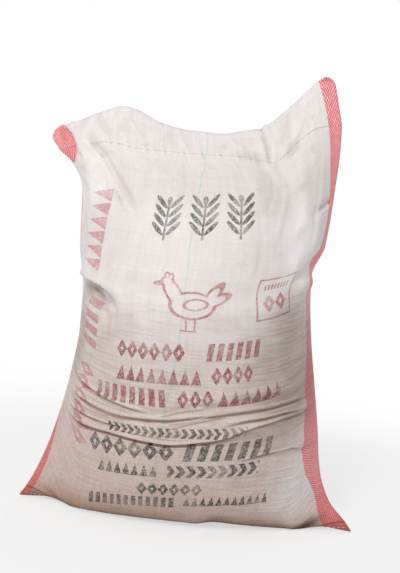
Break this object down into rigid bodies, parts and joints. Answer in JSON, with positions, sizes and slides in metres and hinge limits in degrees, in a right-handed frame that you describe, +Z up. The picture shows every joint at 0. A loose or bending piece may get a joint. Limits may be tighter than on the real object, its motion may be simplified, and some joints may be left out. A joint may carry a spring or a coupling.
{
  "type": "poultry feed sack",
  "caption": "Filled woven plastic feed sack with a red stripe woven down each side, a hem across the bottom and a sewn top with a flap and two ears, standing on its base.",
  "frame": {"origin": "on the floor, under the middle of the sack's outline seen from above", "axes": "+Z up towards the sewn top, +X to the right of the printed front, -Y out of the printed front"},
  "size_m": [0.636, 0.3494, 0.8431],
  "materials": {
    "woven_cloth": "woven flat plastic tape, off-white, slightly shiny, with a red stripe down each side, faded red and grey print, and brown dust towards the base",
    "bag_thread": "twisted cream bag thread, matte"
  },
  "bodies": {
    "root": {"sack": "woven_cloth", "top_closing_thread": "bag_thread", "bottom_hem_thread": "bag_thread"}
  },
  "joints": []
}
